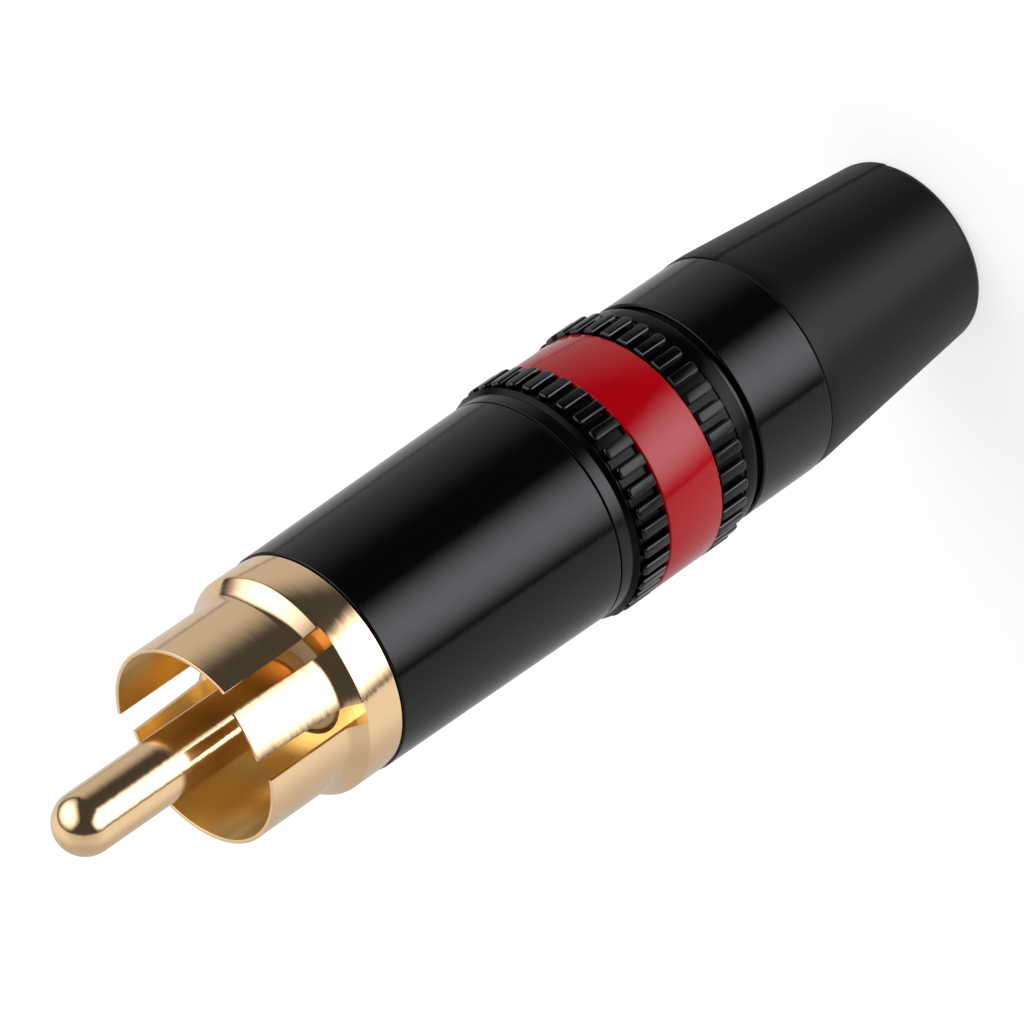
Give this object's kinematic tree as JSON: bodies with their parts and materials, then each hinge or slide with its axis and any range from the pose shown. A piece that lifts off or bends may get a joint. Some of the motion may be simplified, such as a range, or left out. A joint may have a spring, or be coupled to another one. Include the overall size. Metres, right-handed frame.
{
  "type": "phono plug",
  "caption": "Metal-shell phono plug with a slotted gold contact sleeve, ball-nosed centre pin, knurled grip ring with a red ring, and a tapered rubber boot.",
  "frame": {"origin": "centre of the boot's end face, on the surface that the plug stands on", "axes": "+Z along the plug's axis from the boot to the tip of the centre pin; -Y towards the side that the picture shows"},
  "size_m": [0.013, 0.013, 0.0595],
  "materials": {
    "gold_plate": "polished gold plate",
    "black_shell": "gloss black",
    "satin_grip": "satin black",
    "red_ring": "gloss",
    "boot_rubber": "matte",
    "cream_insulator": "moulded",
    "chuck_nylon": "moulded",
    "sleeve_plastic": "moulded"
  },
  "bodies": {
    "rear_bushing": {"boot": "boot_rubber", "rear_barrel": "black_shell", "grip_ring": "satin_grip", "colour_ring": "red_ring"},
    "chuck": {"cable_chuck": "chuck_nylon"},
    "shell": {"front_shell": "black_shell"},
    "sleeve": {"insulating_sleeve": "sleeve_plastic"},
    "contact": {"outer_contact": "gold_plate", "pin_insulator": "cream_insulator", "centre_pin": "gold_plate", "ground_lug": "gold_plate"}
  },
  "joints": [
    {"name": "chuck_lift", "type": "slide", "parent": "rear_bushing", "child": "chuck", "axis": [0, 0, 1], "range_m": [0, 0.005]},
    {"name": "shell_turn", "type": "hinge", "parent": "chuck", "child": "shell", "pos_m": [0, 0, 0.0305], "axis": [0, 0, 1], "range_deg": [0, 2400]},
    {"name": "sleeve_lift", "type": "slide", "parent": "shell", "child": "sleeve", "axis": [0, 0, 1], "range_m": [0, 0.0045]},
    {"name": "contact_turn", "type": "hinge", "parent": "sleeve", "child": "contact", "pos_m": [0, 0, 0.0405], "axis": [0, 0, 1], "range_deg": [0, 2160]}
  ],
  "couplings": [
    {"joint": "chuck_lift", "follows": "shell_turn", "m_per_rad": 0.00011936},
    {"joint": "sleeve_lift", "follows": "contact_turn", "m_per_rad": 0.00011936}
  ]
}
